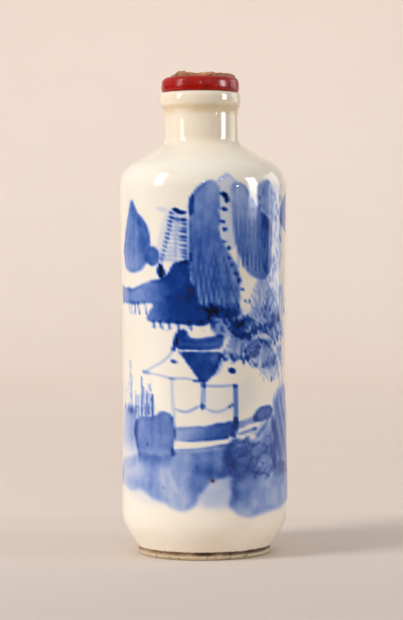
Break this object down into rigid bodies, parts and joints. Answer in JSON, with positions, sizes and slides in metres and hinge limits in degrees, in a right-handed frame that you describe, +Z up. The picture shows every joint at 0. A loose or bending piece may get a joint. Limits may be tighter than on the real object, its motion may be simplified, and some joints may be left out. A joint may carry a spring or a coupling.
{
  "type": "snuff bottle",
  "caption": "Small cylindrical porcelain snuff bottle with a short neck, painted in blue under the glaze, with the red glass collar and cork of a broken stopper.",
  "frame": {"origin": "centre of the foot, on the surface that the bottle stands on", "axes": "+Z up along the bottle, -Y towards the side whose painting shows a pavilion before a mountain, +X to that side's right"},
  "size_m": [0.0282, 0.0282, 0.0814],
  "materials": {
    "glazed_porcelain": null,
    "red_glass": "opaque red glass, worn semi-gloss",
    "cork": "old cork, matte and stained",
    "cement": null
  },
  "bodies": {
    "root": {"bottle": "glazed_porcelain", "collar": "red_glass", "cork": "cork", "cement": "cement"}
  },
  "joints": []
}
